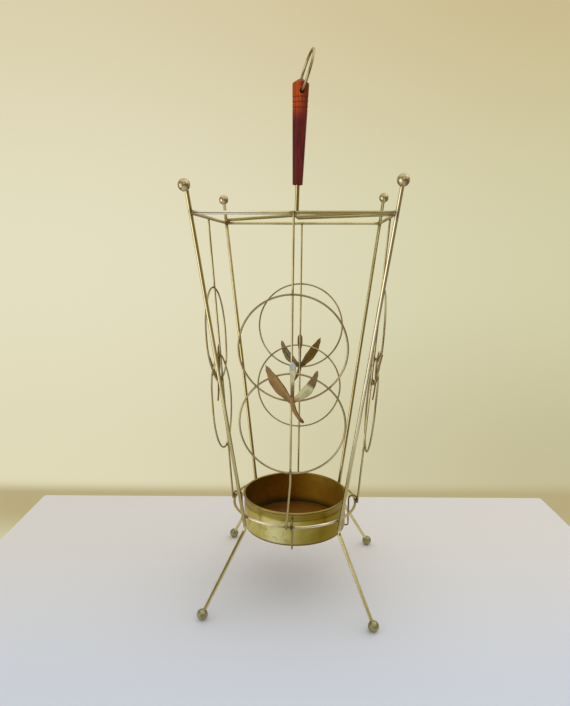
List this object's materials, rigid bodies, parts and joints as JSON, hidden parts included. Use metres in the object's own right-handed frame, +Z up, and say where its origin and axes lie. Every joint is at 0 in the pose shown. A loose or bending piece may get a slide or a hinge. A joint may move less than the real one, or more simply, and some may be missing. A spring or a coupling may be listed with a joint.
{
  "type": "umbrella stand",
  "caption": "Square brass wire umbrella stand with ball feet, ring and leaf ornament on each face, a loose round drip pan, and a turned wood carrying handle with a swinging ring.",
  "frame": {"origin": "on the floor, under the middle of the stand", "axes": "+Z up; -Y is the front, the face that the picture shows"},
  "size_m": [0.2736, 0.2734, 0.7719],
  "materials": {
    "rod_brass": "drawn rod, lightly tarnished, satin",
    "ball_brass": "turned and polished, worn",
    "wire_brass": "thin drawn wire, tarnished",
    "ring_brass": "worn bright by handling",
    "pan_brass": "spun sheet, greenish-yellow tarnish outside, dark brown inside",
    "leaf_copper": "copper-coloured sheet, patinated, satin",
    "grip_wood": "turned hardwood, dark red-brown lacquer"
  },
  "bodies": {
    "stand": {"centre_wire_back": "wire_brass", "centre_wire_front": "wire_brass", "centre_wire_left": "wire_brass", "centre_wire_right": "wire_brass", "cradle_wire_lower": "wire_brass", "cradle_wire_upper": "wire_brass", "divider_bar": "rod_brass", "finial_back_left": "ball_brass", "finial_back_right": "ball_brass", "finial_front_left": "ball_brass", "finial_front_right": "ball_brass", "foot_back_left": "ball_brass", "foot_back_right": "ball_brass", "foot_front_left": "ball_brass", "foot_front_right": "ball_brass", "handle_rod": "rod_brass", "hoop": "wire_brass", "leaf_spray_back": "leaf_copper", "leaf_spray_front": "leaf_copper", "leaf_spray_left": "leaf_copper", "leaf_spray_right": "leaf_copper", "lower_ring_back": "wire_brass", "lower_ring_front": "wire_brass", "lower_ring_left": "wire_brass", "lower_ring_right": "wire_brass", "post_back_left": "rod_brass", "post_back_right": "rod_brass", "post_front_left": "rod_brass", "post_front_right": "rod_brass", "top_rail_back": "rod_brass", "top_rail_front": "rod_brass", "top_rail_left": "rod_brass", "top_rail_right": "rod_brass", "upper_ring_back": "wire_brass", "upper_ring_front": "wire_brass", "upper_ring_left": "wire_brass", "upper_ring_right": "wire_brass", "wood_grip": "grip_wood"},
    "ring": {"carry_ring": "ring_brass"},
    "pan": {"drip_pan": "pan_brass"}
  },
  "joints": [
    {"name": "ring_swing", "type": "hinge", "parent": "stand", "child": "ring", "pos_m": [0.00269, 0, 0.71546], "axis": [-0.2588, 0.9659, 0], "range_deg": [-180.5, 152]},
    {"name": "pan_lift", "type": "slide", "parent": "stand", "child": "pan", "axis": [0, 0, 1], "range_m": [0, 0.398]}
  ]
}
